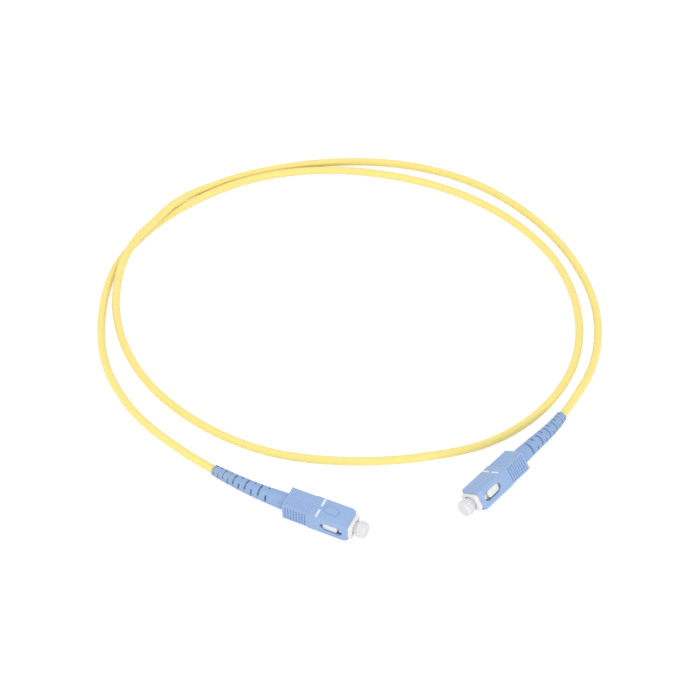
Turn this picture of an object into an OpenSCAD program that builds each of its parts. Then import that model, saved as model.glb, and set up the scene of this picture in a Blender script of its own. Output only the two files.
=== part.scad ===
// Simplex fibre optic patch cord: two push-pull plugs with a square ferrule
// housing each, joined by one loosely looped, jacketed single-fibre cord.
// Each plug is drawn along its own X axis: X = 0 is the front plane of the
// coupling sleeve, the mating side is +X, the key is on +Z.

/* [Cord] */
// Outer diameter of the jacket
cord_d = 3.0; // [2.8:0.05:3.1]
// Wall of the jacket
jacket_wall = 0.45; // [0.35:0.05:0.6]
// Diameter of the tight-buffered fibre
buffer_d = 0.9; // [0.7:0.05:1]
// Diameter of the bare glass fibre
fibre_d = 0.125; // [0.12:0.005:0.2]
// Clearance between the layers of the cord
layer_gap = 0.05; // [0.02:0.01:0.08]

/* [Coupling sleeve] */
// Width of the front section
sleeve_w = 9.0; // [8.8:0.1:9.6]
// Height of the front section
sleeve_h = 7.4; // [7.2:0.1:8]
// Whole length of the sleeve
sleeve_l = 24.4; // [24:0.1:26]
// Length of the ribbed rear section
rear_l = 9.4; // [9.2:0.1:10.2]
// How far the front section stands out over the rear one, on every side
front_step = 0.15; // [0.05:0.05:0.25]
// Length of the slanted front corners
nose_cham_l = 2.0; // [1:0.1:3]
// Width of the slanted front corners
nose_cham_w = 1.1; // [0.5:0.1:1.5]
// How far the front end curves back towards its wide faces
nose_sweep = 0.5; // [0.2:0.1:0.8]
// Radius of the long edges
edge_r = 0.5; // [0.2:0.05:0.6]
// Front end of the side windows, behind the front plane
window_x = 2.0; // [1.8:0.1:2.6]
// Length of the side windows
window_l = 8.3; // [8:0.1:8.6]
// Height of the side windows
window_h = 3.6; // [3:0.1:4]
// How far the sleeve slides back to unlatch
sleeve_travel = 1.6; // [1:0.1:1.8]

/* [Key and marks] */
// Front end of the key, behind the front plane
key_x = 5.5; // [5:0.1:7]
// Length of the key
key_l = 4.6; // [4:0.1:5.5]
// Width of the key
key_w = 2.4; // [2:0.1:3]
// Height of the key above the sleeve
key_h = 0.8; // [0.5:0.05:1]
// Distance of the mark bars behind the front plane
mark_x = 11.9; // [11.6:0.1:12.4]
// Length of one mark bar across the sleeve
mark_l = 3.1; // [2:0.1:3.4]
// Width of a mark bar along the sleeve
mark_w = 0.85; // [0.5:0.05:1]
// Depth of the recess under a mark bar
mark_depth = 0.1; // [0.05:0.05:0.15]

/* [Ribs] */
// Number of finger grooves on each side
rib_n = 8; // [4:1:8]
// Distance between finger grooves
rib_pitch = 1.05; // [0.9:0.05:1.1]
// Width of a finger groove
rib_w = 0.45; // [0.3:0.05:0.7]
// Depth of the grooves on the narrow sides
rib_depth = 0.35; // [0.2:0.05:0.5]
// Depth of the fine grooves on the wide sides
fine_rib_depth = 0.1; // [0.06:0.02:0.2]

/* [Plug frame] */
// Width of the plug frame
frame_w = 7.0; // [6.8:0.05:7.2]
// Height of the plug frame
frame_h = 5.8; // [5.6:0.05:5.9]
// How far the plug frame stands out of the sleeve
frame_nose = 0.9; // [0.5:0.1:1.5]
// How far the frame's rear end stays inside the sleeve's rear end
frame_inset = 5.5; // [5.1:0.1:6]
// Diameter of the front bore
front_bore_d = 4.8; // [4.6:0.05:5]
// Depth of the channels along the frame's narrow sides
channel_depth = 0.8; // [0.4:0.05:0.9]
// Gap above and below the rail that shows in the sleeve's side window
rail_gap = 0.5; // [0.4:0.05:0.7]
// Height of the rail above the frame's side
rail_h = 0.45; // [0.2:0.05:0.6]
// Clearance between the frame and the sleeve
slide_gap = 0.15; // [0.05:0.05:0.2]

/* [Ferrule] */
// Diameter of the ferrule
ferrule_d = 2.5; // [2.4:0.05:2.6]
// Length of the ferrule
ferrule_l = 10.5; // [10:0.1:11]
// How far the ferrule tip stands in front of the front plane
ferrule_tip = 2.0; // [1.6:0.1:2.4]
// How deep the ferrule sits in its holder
ferrule_seat = 2.0; // [1.5:0.1:2.3]
// Diameter of the holder's flange
flange_d = 4.4; // [4.2:0.05:4.5]
// Length of the holder's flange
flange_l = 2.5; // [2.4:0.1:3]
// Diameter of the holder's tail tube
tail_d = 2.7; // [2.5:0.05:2.8]
// Length of the holder's tail tube
tail_l = 6.5; // [6.2:0.1:6.8]
// How far the ferrule floats back against its spring
ferrule_travel = 1.0; // [0.5:0.1:1]

/* [Spring] */
// Diameter of the spring wire
wire_d = 0.45; // [0.35:0.05:0.5]
// Number of turns
spring_turns = 6; // [4:1:7]

/* [Stop ring and crimp] */
// Length of the stop ring inside the frame
stop_l = 5.2; // [4.8:0.1:5.3]
// Diameter of the stop ring's collar
collar_d = 5.6; // [5.2:0.1:5.8]
// Length of the collar
collar_l = 1.0; // [0.6:0.1:1.3]
// Diameter of the knurled barrel
barrel_d = 3.8; // [3.6:0.05:3.9]
// Length of the knurled barrel
barrel_l = 5.7; // [5:0.1:6]
// Wall of the crimp ring
crimp_wall = 0.28; // [0.2:0.02:0.32]
// Length of the crimp ring's narrow part on the jacket
crimp_neck_l = 2.4; // [2:0.1:2.6]
// Thickness of the yarn clamped on the barrel
yarn_t = 0.28; // [0.2:0.02:0.34]

/* [Boot] */
// Length of the boot behind the sleeve
boot_l = 28.5; // [28.2:0.1:32]
// Outer diameter at the sleeve
boot_d = 6.0; // [5.9:0.05:6.2]
// Outer diameter at the tip
boot_tip_d = 4.0; // [3.9:0.05:4.8]
// Number of slots along the boot
slot_n = 10; // [6:1:10]
// Distance of the first slot behind the sleeve
slot_x = 5.7; // [5.6:0.1:6.4]
// Distance between the first two slots
slot_pitch = 2.9; // [2.5:0.05:2.95]
// How much the distance shrinks from slot to slot
slot_shrink = 0.11; // [0.11:0.01:0.15]
// Width of a slot along the boot
slot_w = 0.7; // [0.4:0.05:0.85]
// Angle of each web that bridges a slot
web_angle = 62; // [40:1:80]
// Clearance of the boot around the jacket, on the radius
boot_gap = 0.1; // [0.06:0.01:0.15]

/* [Dust cap] */
// Diameter of the head
cap_d = 5.7; // [5.4:0.1:6.4]
// Length of the head
cap_l = 3.1; // [2.8:0.1:4]
// Distance of the head in front of the front plane
cap_x = 2.0; // [2:0.1:2.6]
// Diameter of the neck
neck_d = 4.4; // [3.6:0.1:4.5]
// How deep the neck reaches behind the front plane
neck_depth = 3.6; // [2:0.1:4]
// Running clearance on the ferrule, on the radius
cap_fit = 0.02; // [0.01:0.01:0.05]
// Number of flutes round the head
flute_n = 14; // [8:1:18]

/* [Hidden] */
$fn = 48;
eps = 0.01;

// Fits between pieces
fit = 0.05;
end_gap = 0.1;
tail_gap = 0.2;

// Outline of the sleeve and of the space inside it
cavity_play = 0.5;
boot_play = 0.15;
rear_w = sleeve_w - 2 * front_step;
rear_h = sleeve_h - 2 * front_step;
front_l = sleeve_l - rear_l;
cavity_w = frame_w + 2 * slide_gap;
cavity_h = frame_h + 2 * slide_gap;
frame_rear = sleeve_l - frame_inset;
cavity_rear = frame_rear + cavity_play;
rear_bore_d = boot_d + 2 * boot_play;
nose_r = (pow(sleeve_h / 2, 2) + pow(nose_sweep, 2)) / (2 * nose_sweep);
window_slant = 1.8;
window_nose = 1.3;
window_tip_h = 1.4;
key_bevel = 0.3;
mark_inner = 0.85;
rib_rear = 0.9;
rib_end = 0.8;
rib_z = sleeve_h - 2 * rib_end;

// Channels, latch ridges, rails and stop lugs of the plug frame
channel_x = 0.9;
channel_end = window_x + window_l + 0.8;
ridge_x = 1;
ridge_top_x = window_x + 0.1;
ridge_end = window_x + 1.3;
ridge_low = 0.35;
ridge_h = 0.05;
rail_end_gap = 0.6;
rail_x = window_x + sleeve_travel + rail_end_gap;
rail_end = window_x + window_l - rail_end_gap - 0.2;
rail_w = window_h - 2 * rail_gap;
rail_tip_w = rail_w - 0.8;
rail_nose = 0.5;
rail_tail = 0.7;
ridge_w = 1.9;
lug_inset = 5.3;
lug_x = frame_rear - lug_inset;
lug_l = 1.2;
lug_w = 2.4;
lug_h = 0.3;
frame_bevel = 0.6;

// Places along a plug, all behind the front plane
flange_x = ferrule_l - ferrule_seat - ferrule_tip;
shoulder_x = flange_x - fit;
shoulder_l = 1.0;
shoulder_play = 0.4;
shoulder_d = ferrule_d + 2 * shoulder_play;
flange_rear = flange_x + flange_l;
tail_rear = flange_rear + tail_l;
stop_x = frame_rear - stop_l;
snap_inset = 3.1;
snap_x = frame_rear - snap_inset;
snap_l = 1.5;
snap_w = 2.0;
snap_h = 0.35;
collar_rear = frame_rear + collar_l;
barrel_rear = collar_rear + barrel_l;
yarn_fold_l = 1.0;
jacket_x = barrel_rear + yarn_fold_l;
crimp_gap = 0.3;
step_gap = 0.4;
crimp_front = collar_rear + crimp_gap;
crimp_step = barrel_rear + step_gap;
crimp_rear = jacket_x + crimp_neck_l;
stop_bore_end = tail_rear + ferrule_travel + end_gap;
buffer_x = stop_bore_end + end_gap;
tail_bore_d = tail_d + 2 * tail_gap;
buffer_play = 0.3;
barrel_bore_d = buffer_d + 2 * buffer_play;
yarn_in_d = barrel_d + 2 * fit;
yarn_out_d = yarn_in_d + 2 * yarn_t;
crimp_in_d = yarn_out_d + 2 * fit;
crimp_d = crimp_in_d + 2 * crimp_wall;
crimp_neck_in_d = cord_d + 2 * fit;
crimp_neck_d = crimp_neck_in_d + 2 * crimp_wall;
core_d = cord_d - 2 * jacket_wall;
yarn_layer_d = core_d - 2 * layer_gap;
yarn_layer_in_d = buffer_d + 2 * layer_gap;
spring_d = (tail_d + front_bore_d) / 2;

// Boot: straight over the crimp ring, then bent along a curve to the tip
boot_front = cavity_rear + sleeve_travel + end_gap;
root_l = 0.8;
boot_root = sleeve_l + root_l;
bend_gap = 0.3;
bend_x = crimp_rear + bend_gap;
boot_bore_d = cord_d + 2 * boot_gap;

// Plug A lies flat, plug B is rolled onto an edge.
// [x, y, yaw, roll] of each front plane's centre
PLUG_A = [-13.5, -23.3, -24.5, 0];
PLUG_B = [27, -14.1, -132, 215];
// [sideways offset, drop, end yaw, end pitch] of each boot's tip
BEND_A = [3.2, 1.6, 11, 3];
BEND_B = [-1.4, 3.3, -10, 3];
// Turn of each boot about its own axis
BOOT_TURN_A = 13;
BOOT_TURN_B = 60;
// How far each boot has stayed back from its collar when it was pushed on
BOOT_SLIP_A = 1.5;
BOOT_SLIP_B = 0;

// Free run of the cord between the two boot tips, laid by hand
ROUTE = [
    [-72.5, 10.5, 1.5], [-92, 29.5, 1.5], [-103.5, 51, 1.5], [-107.5, 76, 1.5],
    [-104, 103.5, 1.5], [-92.5, 123.5, 1.5], [-76, 139.5, 1.5], [-51.5, 153, 1.5],
    [-25.5, 157.5, 1.5], [1, 154.5, 1.5], [26.5, 145, 1.5], [48.5, 128.5, 1.5],
    [65, 104.5, 1.5], [71, 76, 1.5], [67.5, 52.5, 1.5], [54.5, 30.5, 1.5],
    [34.5, 15, 1.5], [12, 8.5, 1.5], [-16, 6.5, 1.5], [-44, 11, 1.5],
    [-70.5, 25.5, 1.5], [-89.5, 45.5, 1.5], [-100, 68, 1.5], [-103, 87.5, 2.2],
    [-101.5, 100.5, 4.2], [-97.5, 113, 5], [-92, 123.5, 5], [-85.5, 134, 4.8],
    [-76.5, 144, 2.9], [-65.5, 151, 1.5], [-46, 158.5, 1.5], [-19.5, 162.5, 1.5],
    [8.5, 160.5, 1.5], [34, 150.5, 1.5], [55.5, 132, 1.5], [71.5, 106, 1.5],
    [78, 76.5, 1.5], [73.5, 49.5, 1.5], [66, 35, 1.5]
];

// ---------- places in space ----------

// Height at which a plug's axis lies when its front section rests on the ground
function axis_z(plug) =
    edge_r + (sleeve_w / 2 - edge_r) * abs(sin(plug[3])) + (sleeve_h / 2 - edge_r) * abs(cos(plug[3]));
function unit(v) = v / norm(v);
function lerp(a, b, t) = a + (b - a) * t;

// A point given along an unrolled plug, moved to its place on the ground
function place(plug, p) = [
    plug[0] + cos(plug[2]) * p.x - sin(plug[2]) * p.y,
    plug[1] + sin(plug[2]) * p.x + cos(plug[2]) * p.y,
    axis_z(plug) + p.z
];

// Bend of a boot: a cubic curve from the crimp ring to the tip
function bend_l(slip) = sleeve_l + boot_l + slip - bend_x;
function tip(bend, slip) = [
    -bend_x - sqrt(pow(bend_l(slip), 2) - pow(bend[0], 2) - pow(bend[1], 2)), bend[0], -bend[1]
];
function tip_dir(bend) = [
    -cos(bend[2]) * cos(bend[3]), sin(bend[2]) * cos(bend[3]), -sin(bend[3])
];
function bend_poly(bend, slip) = [
    [-bend_x, 0, 0],
    [-bend_x - bend_l(slip) / 3, 0, 0],
    tip(bend, slip) - bend_l(slip) / 3 * tip_dir(bend),
    tip(bend, slip)
];
function cubic(p, t) =
    p[0] * pow(1 - t, 3) + 3 * p[1] * t * pow(1 - t, 2)
    + 3 * p[2] * pow(t, 2) * (1 - t) + p[3] * pow(t, 3);

// A point on a plug's axis, s behind the front plane and along the bent boot
function on_boot(bend, slip, s) =
    s <= bend_x ? [-s, 0, 0] : cubic(bend_poly(bend, slip), (s - bend_x) / bend_l(slip));

// ---------- cord ----------

// Inner end, bend and tip of the cord in one plug, from inside to outside
function plug_run(plug, bend, slip) = [
    place(plug, [-jacket_x, 0, 0]),
    for (t = [0 : 1 / 3 : 1]) place(plug, on_boot(bend, slip, bend_x + bend_l(slip) * t))
];
function reversed(list) = [for (i = [len(list) - 1 : -1 : 0]) list[i]];
function heading(plug) = [cos(plug[2]), sin(plug[2]), 0];

route = concat(
    plug_run(PLUG_A, BEND_A, BOOT_SLIP_A), ROUTE, reversed(plug_run(PLUG_B, BEND_B, BOOT_SLIP_B))
);
last = len(route) - 1;

// Direction of the cord at each of its points, from the three points round it.
// Where it starts or stops climbing it runs level.
function tangent(i) =
    i == 0 ? -heading(PLUG_A)
    : i == last ? heading(PLUG_B)
    : let (
        a = route[i] - route[i - 1],
        b = route[i + 1] - route[i],
        la = norm(a),
        lb = norm(b),
        v = a * lb / la + b * la / lb
    ) unit([v.x, v.y, a.z * b.z > 0 ? v.z : 0]);

function span_point(i, t) =
    let (k = norm(route[i + 1] - route[i]))
    route[i] * (1 + 2 * t) * pow(1 - t, 2) + tangent(i) * k * t * pow(1 - t, 2)
    + route[i + 1] * t * t * (3 - 2 * t) + tangent(i + 1) * k * t * t * (t - 1);

// Longest step between two rings of the cord
ring_step = 17;
function steps(i) = ceil(norm(route[i + 1] - route[i]) / ring_step);
cord_line = concat(
    [for (i = [0 : last - 1], k = [0 : steps(i) - 1]) span_point(i, k / steps(i))],
    [route[last]]
);

// Direction of a line of points at one of them
function line_dir(line, i) = unit(line[min(i + 1, len(line) - 1)] - line[max(i - 1, 0)]);

// One ring of n points round a line, flat side down
function ring(line, i, r, n) =
    let (
        d = line_dir(line, i),
        side = unit(cross([0, 0, 1], d)),
        up = cross(d, side)
    )
    [for (k = [0 : n - 1]) let (a = (k + 0.5) * 360 / n) line[i] + r * (cos(a) * side + sin(a) * up)];

// Solid rod swept along a line
module rod(line, d, n) {
    m = len(line);
    points = [for (i = [0 : m - 1]) each ring(line, i, d / 2, n)];
    sides = [
        for (i = [0 : m - 2], k = [0 : n - 1])
            let (a = i * n + k, b = i * n + (k + 1) % n)
            each [[a, a + n, b], [b, a + n, b + n]]
    ];
    ends = [[for (k = [0 : n - 1]) k], [for (k = [n - 1 : -1 : 0]) (m - 1) * n + k]];
    polyhedron(points, concat(sides, ends));
}

// Hollow tube swept along a line
module tube(line, d, inner_d, n) {
    m = len(line);
    points = concat(
        [for (i = [0 : m - 1]) each ring(line, i, d / 2, n)],
        [for (i = [0 : m - 1]) each ring(line, i, inner_d / 2, n)]
    );
    in = m * n;
    outer = [
        for (i = [0 : m - 2], k = [0 : n - 1])
            let (a = i * n + k, b = i * n + (k + 1) % n)
            each [[a, a + n, b], [b, a + n, b + n]]
    ];
    inner = [
        for (i = [0 : m - 2], k = [0 : n - 1])
            let (a = in + i * n + k, b = in + i * n + (k + 1) % n)
            each [[a, b, a + n], [b, b + n, a + n]]
    ];
    far = (m - 1) * n;
    ends = [
        for (k = [0 : n - 1]) let (j = (k + 1) % n) each [
            [k, j, in + k], [j, in + j, in + k],
            [far + k, in + far + k, far + j], [far + j, in + far + k, in + far + j]
        ]
    ];
    polyhedron(points, concat(outer, inner, ends));
}

// Length of the jacket, and the least gap between two runs of it
line_n = len(cord_line);
lengths = [for (i = [0 : line_n - 2]) norm(cord_line[i + 1] - cord_line[i])];
function total(list, i = 0) = i < len(list) ? list[i] + total(list, i + 1) : 0;
fine_line = [for (i = [0 : last - 1], k = [0 : 5]) span_point(i, k / 6)];
gaps = [
    for (i = [0 : len(fine_line) - 1], j = [i + round(len(fine_line) / 4) : 1 : len(fine_line) - 1])
        norm(fine_line[i] - fine_line[j]) - cord_d
];
echo(jacket_length = total(lengths), rings = line_n, least_gap = min(gaps));

cord_sides = 8;

module cable_jacket() {
    color("gold") tube(cord_line, cord_d, core_d, cord_sides);
}

module aramid_yarn() {
    color("khaki") tube(cord_line, yarn_layer_d, yarn_layer_in_d, cord_sides);
}

module buffered_fibre() {
    line = concat(
        [place(PLUG_A, [-buffer_x, 0, 0])], cord_line, [place(PLUG_B, [-buffer_x, 0, 0])]
    );
    color("white") rod(line, buffer_d, cord_sides);
}

// ---------- helpers for the plugs ----------

// Stands a plug in its place on the ground
module at_plug(plug) {
    translate([plug[0], plug[1], axis_z(plug)])
        rotate([0, 0, plug[2]])
            rotate([plug[3], 0, 0])
                children();
}

// Stands a boot in its place: in line with its plug, but not rolled
module at_boot(plug) {
    translate([plug[0], plug[1], axis_z(plug)])
        rotate([0, 0, plug[2]])
            children();
}

// Cylinder or cone along -X, from x1 to x2 behind the front plane
module along(x1, x2, d1, d2) {
    translate([-x2, 0, 0])
        rotate([0, 90, 0])
            cylinder(h = x2 - x1, d1 = d2, d2 = d1);
}

// Bar along -X with rounded long edges
module bar(x1, x2, w, h, r) {
    translate([-x2, 0, 0])
        rotate([90, 0, 90])
            linear_extrude(height = x2 - x1)
                polygon([
                    for (q = [0 : 3], a = [q * 90 : 30 : q * 90 + 90]) [
                        corner_sign(q + 1) * (w / 2 - r) + r * cos(a),
                        corner_sign(q) * (h / 2 - r) + r * sin(a)
                    ]
                ]);
}
function corner_sign(q) = q % 4 < 2 ? 1 : -1;

// Box along -X, centred on the axis
module box(x1, x2, w, h) {
    translate([-x2, -w / 2, -h / 2])
        cube([x2 - x1, w, h]);
}

// Outline in the X-Z plane, extruded across the plug
module across(w) {
    translate([0, w / 2, 0])
        rotate([90, 0, 0])
            linear_extrude(height = w)
                children();
}

// ---------- coupling sleeve ----------

module sleeve() {
    color("steelblue")
        difference() {
            union() {
                sleeve_front();
                bar(front_l, sleeve_l, rear_w, rear_h, edge_r);
                sleeve_key();
            }
            box(-eps, cavity_rear, cavity_w, cavity_h);
            along(cavity_rear - eps, sleeve_l + eps, rear_bore_d, rear_bore_d);
            across(rear_w + 1) window_outline();
            lug_slots();
            side_grooves();
            fine_grooves();
            mark_recesses();
        }
}

// Front section with slanted corners, in plan and in side view
module sleeve_front() {
    intersection() {
        bar(0, front_l + eps, sleeve_w, sleeve_h, edge_r);
        translate([0, 0, -sleeve_h])
            linear_extrude(height = 2 * sleeve_h)
                nose_plan();
        across(2 * sleeve_w)
            nose_side();
    }
}

module nose_plan() {
    w = sleeve_w / 2;
    polygon([
        [-front_l - 1, -w], [-nose_cham_l, -w], [0, -w + nose_cham_w],
        [0, w - nose_cham_w], [-nose_cham_l, w], [-front_l - 1, w]
    ]);
}

module nose_side() {
    a = asin(sleeve_h / 2 / nose_r);
    polygon([
        [-front_l - 1, -sleeve_h],
        for (i = [-4 : 4]) nose_r * [cos(a * i / 4) - 1, sin(a * i / 4)],
        [-front_l - 1, sleeve_h]
    ]);
}

module sleeve_key() {
    h = sleeve_h / 2 + key_h;
    intersection() {
        translate([-key_x - key_l, -key_w / 2, 0])
            cube([key_l, key_w, h]);
        across(key_w)
            polygon([
                [-key_x - key_l, 0], [-key_x, 0], [-key_x, h - key_bevel],
                [-key_x - key_bevel, h], [-key_x - key_l + key_bevel, h],
                [-key_x - key_l, h - key_bevel]
            ]);
        translate([-key_x - key_l, 0, 0])
            rotate([90, 0, 90])
                linear_extrude(height = key_l)
                    polygon([
                        [-key_w / 2, 0], [key_w / 2, 0], [key_w / 2, h - key_bevel],
                        [key_w / 2 - key_bevel, h], [-key_w / 2 + key_bevel, h],
                        [-key_w / 2, h - key_bevel]
                    ]);
    }
}

module window_outline() {
    f = -window_x;
    r = -window_x - window_l;
    h = window_h / 2;
    t = window_tip_h / 2;
    polygon([
        [r, -t], [r + window_slant, -h], [f - window_nose, -h], [f, -t],
        [f, t], [f - window_nose, h], [r + window_slant, h], [r, t]
    ]);
}

// Room for the stop lugs over the sleeve's travel
module lug_slots() {
    box(
        lug_x - sleeve_travel - end_gap, lug_x + lug_l + end_gap,
        lug_w + 2 * slide_gap, frame_h + 2 * lug_h + 2 * slide_gap
    );
}

module side_grooves() {
    for (i = [0 : rib_n - 1], side = [-1, 1]) {
        x = sleeve_l - rib_rear - i * rib_pitch;
        translate([0, side * (rear_w / 2 - rib_depth / 2 + eps), 0])
            box(x - rib_w, x, rib_depth + 2 * eps, rib_z);
    }
}

module fine_grooves() {
    for (i = [0 : rib_n - 1], face = [-1, 1]) {
        x = sleeve_l - rib_rear - i * rib_pitch;
        translate([0, 0, face * (rear_h / 2 - fine_rib_depth / 2 + eps)])
            box(x - rib_w, x, rear_w - 2 * rib_end, fine_rib_depth + 2 * eps);
    }
}

module mark_recesses() {
    for (side = [-1, 1], face = [-1, 1])
        translate([0, side * (mark_inner + mark_l / 2), face * (sleeve_h / 2 - mark_depth / 2 + eps)])
            box(mark_x - mark_w / 2, mark_x + mark_w / 2, mark_l, mark_depth + 2 * eps);
}

// ---------- plug frame ----------

module plug_frame() {
    color("whitesmoke") {
        difference() {
            union() {
                bar(-frame_nose, frame_rear, frame_w, frame_h, frame_bevel);
                box(lug_x, lug_x + lug_l, lug_w, frame_h + 2 * lug_h);
            }
            along(-frame_nose - eps, shoulder_x - shoulder_l, front_bore_d, front_bore_d);
            along(shoulder_x - shoulder_l - eps, shoulder_x + eps, shoulder_d, shoulder_d);
            along(shoulder_x, frame_rear + eps, front_bore_d, front_bore_d);
            for (side = [-1, 1])
                translate([0, side * (frame_w - channel_depth + eps) / 2, 0])
                    box(channel_x, channel_end, channel_depth + eps, frame_h + 1);
            box(snap_x - end_gap, snap_x + snap_l + end_gap, snap_w + 2 * end_gap, frame_h + 1);
        }
        for (side = [0, 1])
            mirror([0, side, 0]) latch_rail();
    }
}

// Ridge that the adapter's hooks ride up and catch behind, and the rail that stands
// in the sleeve's window
module latch_rail() {
    base = frame_w / 2 - channel_depth - eps;
    low = frame_w / 2 - ridge_low;
    top = frame_w / 2 + ridge_h;
    rail_top = frame_w / 2 + rail_h;
    translate([0, 0, -ridge_w / 2])
        linear_extrude(height = ridge_w)
            polygon([
                [-channel_x + eps, base], [-channel_x + eps, low], [-ridge_x, low],
                [-ridge_top_x, top], [-ridge_end, top], [-ridge_end, base]
            ]);
    translate([0, 0, -rail_w / 2])
        linear_extrude(height = rail_w)
            polygon([
                [-rail_end + eps, base], [-rail_end + eps, low],
                [-channel_end - eps, low], [-channel_end - eps, base]
            ]);
    intersection() {
        across(2 * frame_w)
            rail_outline();
        translate([-rail_end, base, -rail_w / 2])
            cube([rail_end - rail_x, rail_top - base, rail_w]);
    }
}

module rail_outline() {
    w = rail_w / 2;
    t = rail_tip_w / 2;
    polygon([
        [-rail_x, -t], [-rail_x, t], [-rail_x - rail_nose, w], [-rail_end + rail_tail, w],
        [-rail_end, t], [-rail_end, -t], [-rail_end + rail_tail, -w], [-rail_x - rail_nose, -w]
    ]);
}

// ---------- ferrule, its holder and the fibre in them ----------

ferrule_bevel = 0.35;
fibre_hole_d = fibre_d + 0.015;
funnel_d = 0.9;
funnel_l = 1.2;
notch_w = 0.8;
notch_l = 0.8;
notch_depth = 0.35;

module ferrule() {
    color("white")
        difference() {
            union() {
                along(-ferrule_tip, ferrule_bevel - ferrule_tip, ferrule_d - 2 * ferrule_bevel, ferrule_d);
                along(ferrule_bevel - ferrule_tip - eps, ferrule_l - ferrule_tip, ferrule_d, ferrule_d);
            }
            along(-ferrule_tip - 1, ferrule_l - ferrule_tip - funnel_l, fibre_hole_d, fibre_hole_d);
            along(
                ferrule_l - ferrule_tip - funnel_l - eps, ferrule_l - ferrule_tip + eps,
                fibre_hole_d, funnel_d
            );
        }
}

module ferrule_holder() {
    seat_rear = flange_x + ferrule_seat;
    color("silver")
        difference() {
            union() {
                along(flange_x, flange_rear, flange_d, flange_d);
                along(flange_rear - eps, tail_rear, tail_d, tail_d);
            }
            along(flange_x - eps, seat_rear, ferrule_d + 2 * eps, ferrule_d + 2 * eps);
            along(seat_rear - eps, tail_rear + eps, buffer_d + 2 * fit, buffer_d + 2 * fit);
            for (a = [45 : 90 : 315])
                rotate([a, 0, 0])
                    translate([-flange_x - notch_l, flange_d / 2 - notch_depth, -notch_w / 2])
                        cube([notch_l + eps, 2 * notch_depth, notch_w]);
        }
}

module fibre_stub() {
    rear = ferrule_l - ferrule_tip - funnel_l;
    color("lightyellow") {
        along(-ferrule_tip, rear + funnel_l + eps, fibre_d, fibre_d);
        along(rear + funnel_l, tail_rear, buffer_d, buffer_d);
    }
}

// ---------- spring ----------

spring_rings = 8;
spring_sides = 6;

module spring() {
    front = flange_rear + fit + wire_d / 2;
    rear = stop_x - fit - wire_d / 2;
    n = spring_turns * spring_rings;
    line = [
        for (i = [0 : n])
            let (a = i * 360 / spring_rings)
            [-lerp(front, rear, i / n), spring_d / 2 * cos(a), spring_d / 2 * sin(a)]
    ];
    points = [for (i = [0 : n]) each spring_ring(line[i], i * 360 / spring_rings)];
    sides = [
        for (i = [0 : n - 1], k = [0 : spring_sides - 1])
            let (a = i * spring_sides + k, b = i * spring_sides + (k + 1) % spring_sides)
            each [[a, b, a + spring_sides], [b, b + spring_sides, a + spring_sides]]
    ];
    ends = [
        [for (k = [spring_sides - 1 : -1 : 0]) k],
        [for (k = [0 : spring_sides - 1]) n * spring_sides + k]
    ];
    color("dimgray") polyhedron(points, concat(sides, ends));
}

// Ring of the wire's section, square to the turn
function spring_ring(p, a) = [
    for (k = [0 : spring_sides - 1])
        let (b = k * 360 / spring_sides)
        p + wire_d / 2 * [sin(b), cos(b) * cos(a), cos(b) * sin(a)]
];

// ---------- stop ring, yarn and crimp ring ----------

knurl_n = 6;
knurl_depth = 0.15;

module stop_ring() {
    tube_d = front_bore_d - 2 * fit;
    color("lightslategray")
        difference() {
            union() {
                along(stop_x, frame_rear + eps, tube_d, tube_d);
                intersection() {
                    box(snap_x, snap_x + snap_l, snap_w, frame_h + 1);
                    along(snap_x, snap_x + snap_l, tube_d + 2 * snap_h, tube_d + 2 * snap_h);
                }
                along(frame_rear, collar_rear, collar_d, collar_d);
                along(collar_rear - eps, barrel_rear, barrel_d, barrel_d);
            }
            along(stop_x - eps, stop_bore_end, tail_bore_d, tail_bore_d);
            along(stop_x, barrel_rear + eps, barrel_bore_d, barrel_bore_d);
            for (i = [0 : knurl_n - 1])
                knurl_groove(collar_rear + barrel_l * (i + 0.75) / (knurl_n + 0.5));
        }
}

module knurl_groove(x) {
    w = barrel_l / knurl_n / 2;
    difference() {
        along(x, x + w, barrel_d + 1, barrel_d + 1);
        along(x - eps, x + w + eps, barrel_d - 2 * knurl_depth, barrel_d - 2 * knurl_depth);
    }
}

// Yarn folded out of the cord over the barrel
module crimped_yarn() {
    color("khaki")
        rotate([0, -90, 0])
            rotate_extrude()
                polygon([
                    [yarn_in_d / 2, crimp_front + fit], [yarn_out_d / 2, crimp_front + fit],
                    [yarn_out_d / 2, crimp_step - fit], [yarn_layer_d / 2, jacket_x - fit],
                    [yarn_layer_in_d / 2, jacket_x - fit], [yarn_in_d / 2 - fit, barrel_rear + fit],
                    [yarn_in_d / 2, barrel_rear - fit]
                ]);
}

module crimp_ring() {
    color("goldenrod")
        rotate([0, -90, 0])
            rotate_extrude()
                polygon([
                    [crimp_in_d / 2, crimp_front], [crimp_d / 2, crimp_front],
                    [crimp_d / 2, crimp_step], [crimp_neck_d / 2, jacket_x],
                    [crimp_neck_d / 2, crimp_rear], [crimp_neck_in_d / 2, crimp_rear],
                    [crimp_neck_in_d / 2, jacket_x], [crimp_in_d / 2, crimp_step]
                ]);
}

// ---------- boot ----------

web_inset = 0.08;
web_lap = 0.15;

// Middle of a slot, behind the front plane
function slot_at(i, slip) = sleeve_l + slot_x + slip + slot_pitch * i - slot_shrink / 2 * i * i;

// Outer radius of the boot, at a place on a boot that is pushed right up
function boot_r(s) = lerp(boot_d, boot_tip_d, max(0, s - boot_root) / (sleeve_l + boot_l - boot_root)) / 2;

// Points a solid drawn along -X from the origin along the bent boot, between s1 and s2
module on_bend(bend, slip, s1, s2) {
    p = on_boot(bend, slip, s1);
    d = on_boot(bend, slip, s2) - p;
    translate(p)
        rotate([0, 0, atan2(-d.y, -d.x)])
            rotate([0, atan2(d.z, norm([d.x, d.y])), 0])
                children();
}

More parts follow.
